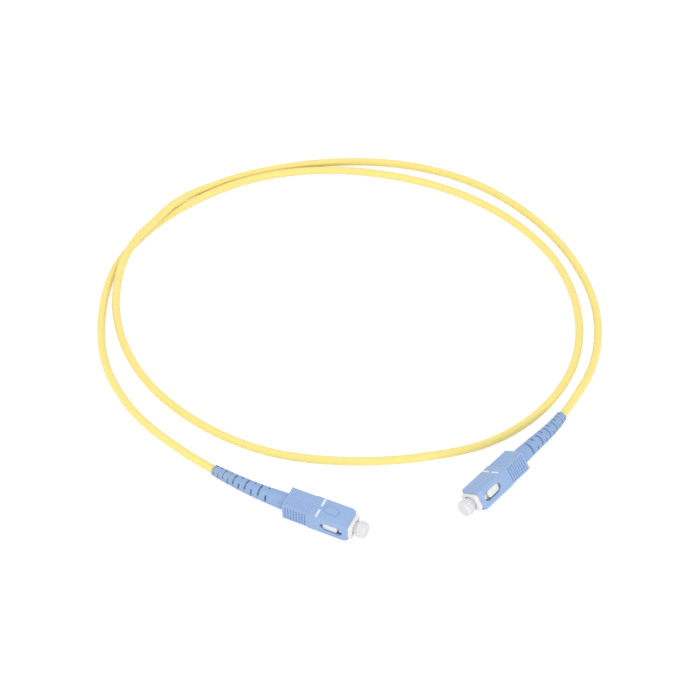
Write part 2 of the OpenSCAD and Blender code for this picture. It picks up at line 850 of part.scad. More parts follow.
module boot(bend, turn, slip) {
    tail = sleeve_l + boot_l + slip;
    color("cornflowerblue") {
        boot_base(slot_at(0, slip) - slot_w / 2, slip);
        for (i = [0 : slot_n - 1]) {
            s = slot_at(i, slip);
            s1 = s + slot_w / 2;
            s2 = i == slot_n - 1 ? tail : slot_at(i + 1, slip) - slot_w / 2;
            on_bend(bend, slip, s1, s2) boot_ring(s2 - s1, boot_r(s1 - slip), boot_r(s2 - slip));
            on_bend(bend, slip, s - slot_w / 2 - web_lap, s1 + web_lap)
                boot_webs(boot_r(s - slip) - web_inset, turn + 90 * (i % 2));
        }
    }
}

// Straight part over the crimp ring
module boot_base(end, slip) {
    root = boot_root + slip;
    difference() {
        union() {
            along(boot_front + slip, root, boot_d, boot_d);
            along(root - eps, end, boot_d, 2 * boot_r(end - slip));
        }
        along(boot_front, jacket_x + step_gap, crimp_d + 2 * fit, crimp_d + 2 * fit);
        along(boot_front, bend_x, crimp_neck_d + 2 * fit, crimp_neck_d + 2 * fit);
        along(boot_front, end + eps, boot_bore_d, boot_bore_d);
    }
}

module boot_ring(l, r1, r2) {
    difference() {
        along(0, l, 2 * r1, 2 * r2);
        along(-eps, l + eps, boot_bore_d, boot_bore_d);
    }
}

// Two webs that carry the boot across a slot
module boot_webs(r2, turn) {
    l = slot_w + 2 * web_lap;
    r1 = boot_bore_d / 2 + web_inset;
    for (a = [0, 180])
        rotate([turn + a + web_angle / 2, 0, 0])
            rotate([0, -90, 0])
                rotate_extrude(angle = web_angle)
                    polygon([[r1, 0], [r2, 0], [r2, l], [r1, l]]);
}

// ---------- dust cap ----------

cap_round = 0.7;
flute_r = 0.28;
cap_hole = 0.6;

module dust_cap() {
    front = cap_x + cap_l;
    head_r = cap_d / 2;
    hole_r = ferrule_d / 2 + cap_fit;
    color("gainsboro")
        difference() {
            rotate([0, 90, 0])
                rotate_extrude()
                    polygon(concat(
                        [
                            [hole_r, -neck_depth], [neck_d / 2, -neck_depth], [neck_d / 2, cap_x],
                            [head_r - cap_round / 2, cap_x], [head_r, cap_x + cap_round / 2]
                        ],
                        [
                            for (a = [0 : 22.5 : 90])
                                [head_r - cap_round * (1 - cos(a)), front - cap_round * (1 - sin(a))]
                        ],
                        [[0, front], [0, ferrule_tip + cap_hole], [hole_r, ferrule_tip + cap_hole]]
                    ));
            for (i = [0 : flute_n - 1])
                rotate([i * 360 / flute_n, 0, 0])
                    translate([0, head_r + flute_r / 2, 0])
                        along(-front - 1, -cap_x + 1, 2 * flute_r, 2 * flute_r, $fn = 16);
        }
}

// ---------- all pieces ----------

cable_jacket();
aramid_yarn();
buffered_fibre();

at_plug(PLUG_A) sleeve();  // sleeve_a
at_plug(PLUG_A) plug_frame();  // plug_frame_a
at_plug(PLUG_A) ferrule();  // ferrule_a
at_plug(PLUG_A) ferrule_holder();  // ferrule_holder_a
at_plug(PLUG_A) fibre_stub();  // fibre_stub_a
at_plug(PLUG_A) spring();  // spring_a
at_plug(PLUG_A) stop_ring();  // stop_ring_a
at_plug(PLUG_A) crimped_yarn();  // crimped_yarn_a
at_plug(PLUG_A) crimp_ring();  // crimp_ring_a
at_boot(PLUG_A) boot(BEND_A, BOOT_TURN_A, BOOT_SLIP_A);  // boot_a
at_plug(PLUG_A) dust_cap();  // dust_cap_a

at_plug(PLUG_B) sleeve();  // sleeve_b
at_plug(PLUG_B) plug_frame();  // plug_frame_b
at_plug(PLUG_B) ferrule();  // ferrule_b
at_plug(PLUG_B) ferrule_holder();  // ferrule_holder_b
at_plug(PLUG_B) fibre_stub();  // fibre_stub_b
at_plug(PLUG_B) spring();  // spring_b
at_plug(PLUG_B) stop_ring();  // stop_ring_b
at_plug(PLUG_B) crimped_yarn();  // crimped_yarn_b
at_plug(PLUG_B) crimp_ring();  // crimp_ring_b
at_boot(PLUG_B) boot(BEND_B, BOOT_TURN_B, BOOT_SLIP_B);  // boot_b
at_plug(PLUG_B) dust_cap();  // dust_cap_b
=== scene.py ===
# Dresses the packed fibre optic patch cord: round cord, moulded plugs, slotted boots, milky caps.
import math

import bpy
from mathutils import Matrix, Vector


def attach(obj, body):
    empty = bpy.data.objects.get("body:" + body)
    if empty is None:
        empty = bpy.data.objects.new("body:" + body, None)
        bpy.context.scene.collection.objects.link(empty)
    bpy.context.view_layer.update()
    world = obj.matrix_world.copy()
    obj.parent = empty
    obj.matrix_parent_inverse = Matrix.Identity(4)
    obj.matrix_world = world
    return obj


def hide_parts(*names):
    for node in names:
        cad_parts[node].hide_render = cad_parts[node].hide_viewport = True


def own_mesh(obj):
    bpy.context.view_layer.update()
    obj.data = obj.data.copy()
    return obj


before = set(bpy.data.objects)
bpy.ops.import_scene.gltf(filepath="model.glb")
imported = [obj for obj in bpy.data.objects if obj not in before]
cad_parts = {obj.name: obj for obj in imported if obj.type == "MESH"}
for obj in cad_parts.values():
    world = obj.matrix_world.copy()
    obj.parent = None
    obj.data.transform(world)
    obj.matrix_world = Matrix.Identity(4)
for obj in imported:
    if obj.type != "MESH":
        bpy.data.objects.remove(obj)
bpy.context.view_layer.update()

scene = bpy.context.scene
scene.view_settings.view_transform = "Standard"
MM = 0.001


# ---------- sizes, in millimetres ----------

# These repeat the solids' sizes. A plug lies along x with its front plane at 0, and its places
# are distances behind that plane. Those of the frame's nose and the cap's head are in front.
# Closer to the photograph than the solids are: seven route points beside the crossing, the tip
# of boot b, the marks, the latch ridges, the height of the rails and the caps' flutes.

# the cord
CORD_D, YARN_D, BUFFER_D = 3.0, 2.0, 0.9

# the coupling sleeve, its rear section a step smaller than the front one
SLEEVE_W, SLEEVE_H, SLEEVE_L, REAR_L, FRONT_STEP = 9.0, 7.4, 24.4, 9.4, 0.15
REAR_W, REAR_H = SLEEVE_W - 2 * FRONT_STEP, SLEEVE_H - 2 * FRONT_STEP
FRONT_L = SLEEVE_L - REAR_L
EDGE_R = 0.5
NOSE_CHAM_L, NOSE_CHAM_W, NOSE_SWEEP = 2.0, 1.1, 0.5
WINDOW_X, WINDOW_L, WINDOW_H = 2.0, 8.3, 3.6
WINDOW_SLANT, WINDOW_NOSE, WINDOW_TIP = 1.8, 1.3, 1.4
TRAVEL = 1.6
KEY_X, KEY_L, KEY_W, KEY_H, KEY_CHAM = 5.5, 4.6, 2.4, 0.8, 0.3
MARK_X, MARK_L, MARK_W, MARK_INNER = 11.9, 3.2, 0.75, 0.8
MARK_SEAT, MARK_PROUD = 0.1, 0.02
RIB_N, RIB_PITCH, RIB_W, RIB_REAR = 8, 1.05, 0.45, 0.9
RIB_DEPTH, RIB_MARGIN = 0.35, 0.65
FINE_DEPTH, FINE_MARGIN = 0.1, 0.8

# the plug frame inside it
FRAME_W, FRAME_H, FRAME_NOSE, FRAME_BORE, FRAME_BEVEL = 7.0, 5.8, 0.9, 4.8, 0.6
FRAME_REAR = SLEEVE_L - 5.5
SLIDE_GAP = 0.15
LUG_X, LUG_L, LUG_W, LUG_H = FRAME_REAR - 5.3, 1.2, 2.4, 0.3
SNAP_X, SNAP_L, SNAP_W = FRAME_REAR - 3.1, 1.6, 2.2
STOP_X = FRAME_REAR - 5.2
SEAT_FRONT, SEAT_REAR, SEAT_BORE = 5.45, 6.45, 3.3
CHANNEL_X, CHANNEL_END, CHANNEL_DEPTH = 0.9, WINDOW_X + WINDOW_L + 0.8, 0.8
BASE_IN, LOW_IN = CHANNEL_DEPTH + 0.1, 0.35
RIDGE_X, RIDGE_FOOT, RIDGE_TOP, RIDGE_END = 0.85, 1.0, WINDOW_X + 0.1, WINDOW_X + 1.5
RIDGE_W, RIDGE_OUT = 1.9, 0.05
RAIL_X, RAIL_END = WINDOW_X + TRAVEL + 0.6, WINDOW_X + WINDOW_L - 0.8
RAIL_H, RAIL_TIP, RAIL_SLANT, RAIL_NOSE, RAIL_OUT = 2.9, 1.8, 0.7, 0.5, 0.45
RAIL_BASE_H = 2.6
SPRING_X, SPRING_END, SPRING_D, WIRE_D, TURNS = 9.05, STOP_X - 0.05, 3.75, 0.45, 6
TURN_STEPS, WIRE_SIDES, EASE = 28, 10, 0.12

# places behind the frame, and the boot
CAVITY_REAR = FRAME_REAR + 0.5
BARREL_REAR = FRAME_REAR + 1.0 + 5.7
JACKET_X = BARREL_REAR + 1.0
BEND_X = JACKET_X + 2.4 + 0.3
BUFFER_X = 16.7
BOOT_FRONT, BOOT_ROOT, BOOT_L = CAVITY_REAR + TRAVEL + 0.1, SLEEVE_L + 0.8, 28.5
BOOT_D, BOOT_TIP_D, BOOT_BORE = 6.0, 4.0, 3.2
CRIMP_ROOM_D, CORD_ROOM_D = 5.22, 3.8
SLOT_N, SLOT_X, SLOT_PITCH, SLOT_SHRINK, SLOT_W = 10, 5.7, 2.9, 0.11, 0.7
WEB_HALF = 30  # half the angle of each of the two webs that cross a slot, in degrees
LIP = ((0.14, 0), (0.04, 0.03), (0, 0.1))  # distance from a slot's edge, and how far it dips
ROW_GAP = 0.5  # a longer stretch of boot gets rows of its own between two slots

# the cap: the neck reaches behind the front plane, the head's places are in front of it
CAP_D, CAP_L, CAP_X, NECK_D, NECK_REAR = 5.7, 3.1, 2.0, 4.4, 3.6
CAP_BORE, CAP_BORE_END = 2.54, 2.6
CAP_BACK_R, CAP_FRONT_R = 0.35, 0.7
FLUTES, FLUTE_DEPTH, FLUTE_STEPS = 14, 0.2, 10

# cutters: how far they reach past a piece and through it, and how far joined parts overlap
PAST, THROUGH, BEHIND, OVER, LAP = 1, 9, 20, 0.1, 0.3
WINDOW_CUT, KEY_CUT = 6, (-12, -4)  # the windows' cutter through the sleeve, the key's along x

# moulding radii, and steps round an edge
SLEEVE_SOFT, FRAME_SOFT = 0.06, 0.07
EDGE_STEPS, BEVEL_STEPS = 6, 4

# place is [x, y, yaw, roll] of a plug, bend is [sideways, drop, end yaw, end pitch] of its boot,
# turn is the slots' turn round the boot, and slip is how far back the boot sits
PLUGS = {
    "a": dict(place=(-13.5, -23.3, -24.5, 0), bend=(3.2, 1.6, 11, 3), turn=13, slip=1.5),
    "b": dict(place=(27, -14.1, -132, 215), bend=(-2, 3.1, -10, 1), turn=60, slip=0.0),
}

ROUTE = [
    (-72.5, 10.5, 1.5), (-92, 29.5, 1.5), (-103.5, 51, 1.5), (-107.5, 76, 1.5),
    (-104, 103.5, 1.5), (-92.5, 123.5, 1.5), (-76, 139.5, 1.5), (-51.5, 153, 1.5),
    (-25.5, 157.5, 1.5), (1, 154.5, 1.5), (26.5, 145, 1.5), (48.5, 128.5, 1.5),
    (65, 104.5, 1.5), (71, 76, 1.5), (67.5, 52.5, 1.5), (54.5, 30.5, 1.5),
    (34.5, 15, 1.5), (12, 8.5, 1.5), (-16, 6.5, 1.5), (-44, 11, 1.5),
    (-70.5, 25.5, 1.5), (-89.5, 45.5, 1.5), (-100, 68, 1.5), (-103, 87.5, 2.2),
    (-101.6, 100.7, 4.5), (-97.3, 113.4, 5.4), (-91.5, 123.2, 5), (-83.8, 135, 4.3),
    (-77.6, 142.1, 2.8), (-67.1, 149.6, 1.5), (-46.6, 157.8, 1.5), (-19.5, 162.5, 1.5),
    (8.5, 160.5, 1.5), (34, 150.5, 1.5), (55.5, 132, 1.5), (71.5, 106, 1.5),
    (78, 76.5, 1.5), (73.5, 49.5, 1.5), (66, 35, 1.5),
]


# ---------- camera, fitted to both plugs in the photograph ----------

CAMERA_TARGET = Vector((-14.51, 60.16, 0)) * MM
CAMERA_ELEVATION, CAMERA_DISTANCE = math.radians(47.67), 651.3 * MM
CAMERA_LENS, CAMERA_SENSOR = 90.7, 36


def add_camera():
    data = bpy.data.cameras.new("camera")
    data.sensor_width = CAMERA_SENSOR
    data.lens = CAMERA_LENS
    data.clip_start = 0.01
    cam = bpy.data.objects.new("camera", data)
    scene.collection.objects.link(cam)
    away = Vector((0, -math.cos(CAMERA_ELEVATION), math.sin(CAMERA_ELEVATION)))
    cam.location = CAMERA_TARGET + CAMERA_DISTANCE * away
    cam.rotation_euler = (math.pi / 2 - CAMERA_ELEVATION, 0, 0)
    scene.camera = cam


add_camera()


# ---------- places along a plug ----------

def axis_z(plug):
    """Height of the axis of a plug that lies on its rolled, rounded edge."""
    roll = math.radians(plug["place"][3])
    return (
        EDGE_R
        + (SLEEVE_W / 2 - EDGE_R) * abs(math.sin(roll))
        + (SLEEVE_H / 2 - EDGE_R) * abs(math.cos(roll))
    )


def plug_matrix(plug, rolled=True):
    x, y, yaw, roll = plug["place"]
    m = Matrix.Translation((x, y, axis_z(plug))) @ Matrix.Rotation(math.radians(yaw), 4, "Z")
    return m @ Matrix.Rotation(math.radians(roll), 4, "X") if rolled else m


def heading(plug):
    yaw = math.radians(plug["place"][2])
    return Vector((math.cos(yaw), math.sin(yaw), 0))


def bend_poly(plug):
    """Length and four control points of the boot's bent centre line."""
    side, drop, yaw, pitch = plug["bend"]
    yaw, pitch = math.radians(yaw), math.radians(pitch)
    l = SLEEVE_L + BOOT_L + plug["slip"] - BEND_X
    tip = Vector((-BEND_X - math.sqrt(l * l - side * side - drop * drop), side, -drop))
    away = Vector((
        -math.cos(yaw) * math.cos(pitch), math.sin(yaw) * math.cos(pitch), -math.sin(pitch),
    ))
    return l, [Vector((-BEND_X, 0, 0)), Vector((-BEND_X - l / 3, 0, 0)), tip - away * l / 3, tip]


def on_boot(plug, s):
    """Point and direction towards the tip on the boot's centre line, s behind the front plane."""
    if s <= BEND_X:
        return Vector((-s, 0, 0)), Vector((-1, 0, 0))
    l, p = bend_poly(plug)
    t = (s - BEND_X) / l
    u = 1 - t
    at = p[0] * u**3 + p[1] * 3 * t * u * u + p[2] * 3 * t * t * u + p[3] * t**3
    to = (p[1] - p[0]) * 3 * u * u + (p[2] - p[1]) * 6 * u * t + (p[3] - p[2]) * 3 * t * t
    return at, to.normalized()


def plug_run(plug):
    """The cord's points inside a plug, from the end of its jacket to the boot's tip."""
    l, _ = bend_poly(plug)
    m = plug_matrix(plug, rolled=False)
    inside = [m @ on_boot(plug, BEND_X + l * k / 3)[0] for k in range(4)]
    return [m @ Vector((-JACKET_X, 0, 0))] + inside


# ---------- the cord's own line ----------

SPAN = 25  # a usual distance between two route points


def cord_line(per_span):
    """Smooth line through all points, level wherever the cord starts or stops rising."""
    pts = plug_run(PLUGS["a"]) + [Vector(p) for p in ROUTE] + plug_run(PLUGS["b"])[::-1]
    last = len(pts) - 1
    tangents = []
    for i, p in enumerate(pts):
        if i == 0:
            v = -heading(PLUGS["a"])
        elif i == last:
            v = heading(PLUGS["b"])
        else:
            a, b = p - pts[i - 1], pts[i + 1] - p
            v = a * b.length / a.length + b * a.length / b.length
            if a.z * b.z <= 0:
                v.z = 0
        tangents.append(v.normalized())
    line = []
    for i in range(last):
        k = (pts[i + 1] - pts[i]).length
        n = max(3, round(per_span * k / SPAN))
        for j in range(n):
            t = j / n
            u = 1 - t
            line.append(
                pts[i] * (1 + 2 * t) * u * u + tangents[i] * k * t * u * u
                + pts[i + 1] * t * t * (3 - 2 * t) - tangents[i + 1] * k * t * t * u
            )
    return line + [pts[last]]


# ---------- mesh helpers, all in millimetres until placed ----------

def mesh_object(name, verts, faces):
    me = bpy.data.meshes.new(name)
    me.from_pydata([tuple(v) for v in verts], [], faces)
    me.validate()
    ob = bpy.data.objects.new(name, me)
    scene.collection.objects.link(ob)
    return ob


def dress(me, mat):
    me.materials.clear()
    me.materials.append(mat)


def settle(ob, matrix, sharp, body, mat, replaces):
    """Places a piece in metres, shades it, and puts it on its body."""
    me = ob.data
    me.transform(Matrix.Scale(MM, 4) @ matrix)
    me.shade_smooth()
    me.set_sharp_from_angle(angle=math.radians(sharp))
    dress(me, mat)
    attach(ob, body)
    if replaces:
        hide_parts(*replaces)
    return ob


def bands(m, n):
    """Faces between m closed rings of n points each."""
    faces = []
    for i in range(m - 1):
        for k in range(n):
            a, b = i * n + k, i * n + (k + 1) % n
            faces.append((a, b, b + n, a + n))
    return faces


def sweep(line, radius, n):
    """Closed tube round a line, its rings square to it and kept from twisting."""
    m = len(line)
    dirs = [(line[min(i + 1, m - 1)] - line[max(i - 1, 0)]).normalized() for i in range(m)]
    side = Vector((0, 0, 1)).cross(dirs[0])
    side = (side if side.length > 0.1 else Vector((0, 1, 0)).cross(dirs[0])).normalized()
    verts = []
    for p, d in zip(line, dirs):
        side = (side - d * side.dot(d)).normalized()
        up = d.cross(side)
        for k in range(n):
            a = (k + 0.5) * math.tau / n
            verts.append(p + side * (radius * math.cos(a)) + up * (radius * math.sin(a)))
    ends = [tuple(range(n - 1, -1, -1)), tuple((m - 1) * n + k for k in range(n))]
    return verts, bands(m, n) + ends


def join(*parts):
    verts, faces = [], []
    for v, f in parts:
        base = len(verts)
        verts += list(v)
        faces += [tuple(i + base for i in face) for face in f]
    return verts, faces


def prism(poly, lo, hi, axis):
    """Polygon extruded along an axis: its points are the other two coordinates in order."""
    def put(p, h):
        return {"x": (h, p[0], p[1]), "y": (p[0], h, p[1]), "z": (p[0], p[1], h)}[axis]
    area = sum(p[0] * q[1] - q[0] * p[1] for p, q in zip(poly, poly[1:] + poly[:1]))
    if (area < 0) != (axis == "y"):
        poly = poly[::-1]
    n = len(poly)
    verts = [put(p, lo) for p in poly] + [put(p, hi) for p in poly]
    faces = [tuple(range(n - 1, -1, -1)), tuple(range(n, 2 * n))]
    faces += [(k, (k + 1) % n, n + (k + 1) % n, n + k) for k in range(n)]
    return verts, faces


def box(x0, x1, y0, y1, z0, z1):
    return prism([(y0, z0), (y1, z0), (y1, z1), (y0, z1)], x0, x1, "x")


def round_bar(x0, x1, w, h, r, steps):
    """Bar along x whose four edges are rounded in a number of steps."""
    poly = []
    for q, (sy, sz) in enumerate([(1, 1), (-1, 1), (-1, -1), (1, -1)]):
        for k in range(steps + 1):
            a = (q + k / steps) * math.pi / 2
            poly.append((
                sy * (w / 2 - r) + r * math.cos(a), sz * (h / 2 - r) + r * math.sin(a),
            ))
    return prism(poly, x0, x1, "x")


def rod(x0, x1, r):
    n = 64
    angles = [k * math.tau / n for k in range(n)]
    return prism([(r * math.cos(a), r * math.sin(a)) for a in angles], x0, x1, "x")


def slanted(front, rear, height, tip, nose, slant):
    """Eight-sided outline in x and z, slanted down to `tip` at its front and rear."""
    f, q, v, t = -front, -rear, height / 2, tip / 2
    return [
        (q, -t), (q + slant, -v), (f - nose, -v), (f, -t),
        (f, t), (f - nose, v), (q + slant, v), (q, t),
    ]


def on_side(side, inner, outer):
    """Two distances from the middle, as a rising pair on side -1 or 1."""
    return sorted((side * inner, side * outer))


def apply_modifiers(ob):
    me = bpy.data.meshes.new_from_object(
        ob.evaluated_get(bpy.context.evaluated_depsgraph_get()),
    )
    old = ob.data
    ob.modifiers.clear()
    ob.data = me
    bpy.data.meshes.remove(old)


def carve(ob, part, how="DIFFERENCE"):
    """Cuts a closed part out of a piece, or joins it on, or keeps what both share."""
    other = mesh_object("cutter", *part)
    mod = ob.modifiers.new("carve", "BOOLEAN")
    mod.object, mod.operation, mod.solver = other, how, "EXACT"
    apply_modifiers(ob)
    bpy.data.meshes.remove(other.data)


def taken(ob):
    """The vertices and faces of an object, which is removed."""
    me = ob.data
    part = [v.co.copy() for v in me.vertices], [tuple(f.vertices) for f in me.polygons]
    bpy.data.meshes.remove(me)
    return part


def soften(ob, width):
    """Small moulding radius along every sharp edge."""
    mod = ob.modifiers.new("soften", "BEVEL")
    mod.width, mod.segments, mod.limit_method = width, 2, "ANGLE"
    mod.angle_limit = math.radians(35)
    mod.use_clamp_overlap = False
    mod.loop_slide = True
    apply_modifiers(ob)


# ---------- materials ----------

MOTTLE_SCALE = 90  # noise cells to a metre: patches of a centimetre or so
WEAR = 0.05        # how far the roughness goes up and down
GRAIN_RELIEF, GLOW_DEPTH = 0.0001, 0.0012  # in metres: of the grain, and of light in plastic


def srgb(*channels):
    """Linear colour of display values from 0 to 255."""
    levels = [c / 255 for c in channels]
    return tuple(
        v / 12.92 if v <= 0.04045 else ((v + 0.055) / 1.055) ** 2.4 for v in levels
    ) + (1,)


def noise(nt, coords, scale, detail):
    node = nt.nodes.new("ShaderNodeTexNoise")
    node.inputs["Scale"].default_value = scale
    node.inputs["Detail"].default_value = detail
    nt.links.new(coords.outputs["Object"], node.inputs["Vector"])
    return node.outputs["Fac"]


def material(
    name, colour, roughness=0.4, vary=0.03, grain=0.6, bump=0.06, metallic=0.0,
    subsurface=0.0, sheen=0.0, ior=1.5,
):
    """Plastic or metal with a slight mottle of its colour and a fine grain, in mm."""
    mat = bpy.data.materials.new(name)
    mat.use_nodes = True
    nt = mat.node_tree
    bsdf = nt.nodes["Principled BSDF"]
    bsdf.inputs["Metallic"].default_value = metallic
    bsdf.inputs["IOR"].default_value = ior
    bsdf.inputs["Sheen Weight"].default_value = sheen
    if subsurface:
        bsdf.inputs["Subsurface Weight"].default_value = subsurface
        bsdf.inputs["Subsurface Radius"].default_value = (1, 1, 1)
        bsdf.inputs["Subsurface Scale"].default_value = GLOW_DEPTH
    coords = nt.nodes.new("ShaderNodeTexCoord")
    mix = nt.nodes.new("ShaderNodeMix")
    mix.data_type = "RGBA"
    rgb = colour[:3]
    mix.inputs["A"].default_value = (*(c * (1 - vary) for c in rgb), 1)
    mix.inputs["B"].default_value = (*(min(1, c * (1 + vary)) for c in rgb), 1)
    nt.links.new(noise(nt, coords, MOTTLE_SCALE, 3), mix.inputs["Factor"])
    nt.links.new(mix.outputs["Result"], bsdf.inputs["Base Color"])
    fine = noise(nt, coords, 1000 / grain, 4)
    wear = nt.nodes.new("ShaderNodeMapRange")
    wear.inputs["To Min"].default_value = roughness - WEAR
    wear.inputs["To Max"].default_value = roughness + WEAR
    nt.links.new(fine, wear.inputs["Value"])
    nt.links.new(wear.outputs["Result"], bsdf.inputs["Roughness"])
    relief = nt.nodes.new("ShaderNodeBump")
    relief.inputs["Strength"].default_value = bump
    relief.inputs["Distance"].default_value = GRAIN_RELIEF
    nt.links.new(fine, relief.inputs["Height"])
    nt.links.new(relief.outputs["Normal"], bsdf.inputs["Normal"])
    return mat


BLUE = material("blue_housing", srgb(146, 175, 216), roughness=0.36, grain=0.25, bump=0.05)
BOOT = material("blue_boot", srgb(140, 169, 211), roughness=0.5, grain=0.35, bump=0.08)
YELLOW = material(
    "yellow_jacket", srgb(241, 223, 132), roughness=0.42, grain=0.8, bump=0.05,
    subsurface=0.4, sheen=0.35,
)
WHITE = material("frame_white", srgb(230, 230, 227), roughness=0.34, grain=0.3, bump=0.03)
MARK = material("mark_white", srgb(221, 231, 243), roughness=0.6, grain=0.2, bump=0.1)
CAP = material(
    "cap_milky", srgb(220, 218, 221), roughness=0.36, grain=0.5, bump=0.02, subsurface=0.5,
)
CERAMIC = material(
    "zirconia", srgb(244, 243, 238), roughness=0.12, vary=0.01, bump=0.01, ior=2.1,
)
NICKEL = material("nickel_plate", srgb(200, 198, 190), roughness=0.28, metallic=1.0, bump=0.04)
STEEL = material("spring_wire", srgb(190, 190, 188), roughness=0.3, metallic=1.0, grain=0.1)
CRIMP = material("crimp_metal", srgb(205, 203, 198), roughness=0.33, metallic=1.0, grain=0.2)
ARAMID = material(
    "aramid_yarn", srgb(232, 205, 120), roughness=0.7, grain=0.12, bump=0.4, vary=0.12,
)
BUFFER = material("buffer_white", srgb(240, 240, 236), roughness=0.4)

# the nodes that stay as the solids have them
for node, mat in {
    "ferrule": CERAMIC, "ferrule_holder": NICKEL, "fibre_stub": BUFFER, "stop_ring": NICKEL,
    "crimped_yarn": ARAMID, "crimp_ring": CRIMP,
}.items():
    for side in "ab":
        dress(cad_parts[f"{node}_{side}"].data, mat)


# ---------- the cord ----------

JACKET_SPAN, INNER_SPAN = 16, 7  # rings to a span of the line
JACKET_SIDES, YARN_SIDES, BUFFER_SIDES = 20, 12, 10


def add_cord():
    def layer(name, line, diameter, sides, mat, node, slot):
        ob = mesh_object(name, *sweep(line, diameter / 2, sides))
        return settle(ob, Matrix(), 60, "cord_set", mat, [node])

    line = cord_line(JACKET_SPAN)
    jacket = layer("jacket", line, CORD_D, JACKET_SIDES, YELLOW, "cable_jacket", "jacket")
    coarse = cord_line(INNER_SPAN)
    yarn = layer("yarn", coarse, YARN_D, YARN_SIDES, ARAMID, "aramid_yarn", "aramid")
    ends = [plug_matrix(PLUGS[s], False) @ Vector((-BUFFER_X, 0, 0)) for s in "ab"]
    reach = [ends[0]] + coarse + [ends[1]]
    core = layer("core", reach, BUFFER_D, BUFFER_SIDES, BUFFER, "buffered_fibre", "buffer")


add_cord()


# ---------- coupling sleeve ----------

def sleeve(name):
    w, h = SLEEVE_W / 2, SLEEVE_H / 2
    ob = mesh_object(name, *round_bar(-FRONT_L, 0, SLEEVE_W, SLEEVE_H, EDGE_R, EDGE_STEPS))
    # the nose: chamfered sides, and a front edge that sweeps back above and below
    nose = w - NOSE_CHAM_W - OVER / 2
    carve(ob, prism([
        (-BEHIND, -w - PAST), (-NOSE_CHAM_L, -w), (OVER, -nose),
        (OVER, nose), (-NOSE_CHAM_L, w), (-BEHIND, w + PAST),
    ], -THROUGH, THROUGH, "z"), "INTERSECT")
    r = (h * h + NOSE_SWEEP * NOSE_SWEEP) / (2 * NOSE_SWEEP)
    reach, steps = math.asin(h / r) * 1.3, 9  # past the top and the underside
    angles = [k * reach / steps for k in range(-steps, steps + 1)]
    bow = [(-r + r * math.cos(a), r * math.sin(a)) for a in angles]
    swept = [(-BEHIND, bow[0][1])] + bow + [(-BEHIND, bow[-1][1])]
    carve(ob, prism(swept, -THROUGH, THROUGH, "y"), "INTERSECT")
    rear = round_bar(-SLEEVE_L, -FRONT_L + LAP, REAR_W, REAR_H, EDGE_R, EDGE_STEPS)
    carve(ob, rear, "UNION")
    carve(ob, key(), "UNION")
    # the cavity, the round rear opening, the windows and the slots for the frame's lugs
    cw, ch = FRAME_W / 2 + SLIDE_GAP, FRAME_H / 2 + SLIDE_GAP
    carve(ob, box(-CAVITY_REAR, PAST, -cw, cw, -ch, ch))
    carve(ob, rod(-SLEEVE_L - PAST, OVER - CAVITY_REAR, BOOT_D / 2 + SLIDE_GAP))
    window = slanted(
        WINDOW_X, WINDOW_X + WINDOW_L, WINDOW_H, WINDOW_TIP, WINDOW_NOSE, WINDOW_SLANT,
    )
    carve(ob, prism(window, -WINDOW_CUT, WINDOW_CUT, "y"))
    slot = LUG_W / 2 + SLIDE_GAP
    carve(ob, box(
        -LUG_X - LUG_L - OVER, -LUG_X + TRAVEL + OVER, -slot, slot, -ch - LUG_H, ch + LUG_H,
    ))
    carve(ob, join(*grooves()))
    soften(ob, SLEEVE_SOFT)
    return ob


def key():
    """The key on top, with chamfers along its upper edges."""
    top, half = SLEEVE_H / 2 + KEY_H, KEY_W / 2
    a, b, c = -KEY_X - KEY_L, -KEY_X, KEY_CHAM
    ob = mesh_object("key", *prism(
        [(a, 0), (b, 0), (b, top - c), (b - c, top), (a + c, top), (a, top - c)],
        -half, half, "y",
    ))
    carve(ob, prism([
        (-half, -PAST), (half, -PAST), (half, top - c),
        (half - c, top), (c - half, top), (-half, top - c),
    ], *KEY_CUT, "x"), "INTERSECT")
    return taken(ob)


def grooves():
    """Finger grooves in the sides of the rear section, and fine ones above and below."""
    w, h = REAR_W / 2, REAR_H / 2
    high, wide = h - RIB_MARGIN, w - FINE_MARGIN
    cuts = []
    for i in range(RIB_N):
        x = -(SLEEVE_L - RIB_REAR - i * RIB_PITCH)
        for s in (-1, 1):
            cuts.append(box(x, x + RIB_W, *on_side(s, w - RIB_DEPTH, w + PAST), -high, high))
            cuts.append(box(x, x + RIB_W, -wide, wide, *on_side(s, h - FINE_DEPTH, h + PAST)))
    return cuts


def marks(name):
    """Two painted bars on the top and two on the underside."""
    h = SLEEVE_H / 2
    bars = []
    for side in (-1, 1):
        for face in (-1, 1):
            bars.append(box(
                -MARK_X - MARK_W / 2, -MARK_X + MARK_W / 2,
                *on_side(side, MARK_INNER, MARK_INNER + MARK_L),
                *on_side(face, h - MARK_SEAT, h + MARK_PROUD),
            ))
    return mesh_object(name, *join(*bars))


# ---------- plug frame ----------

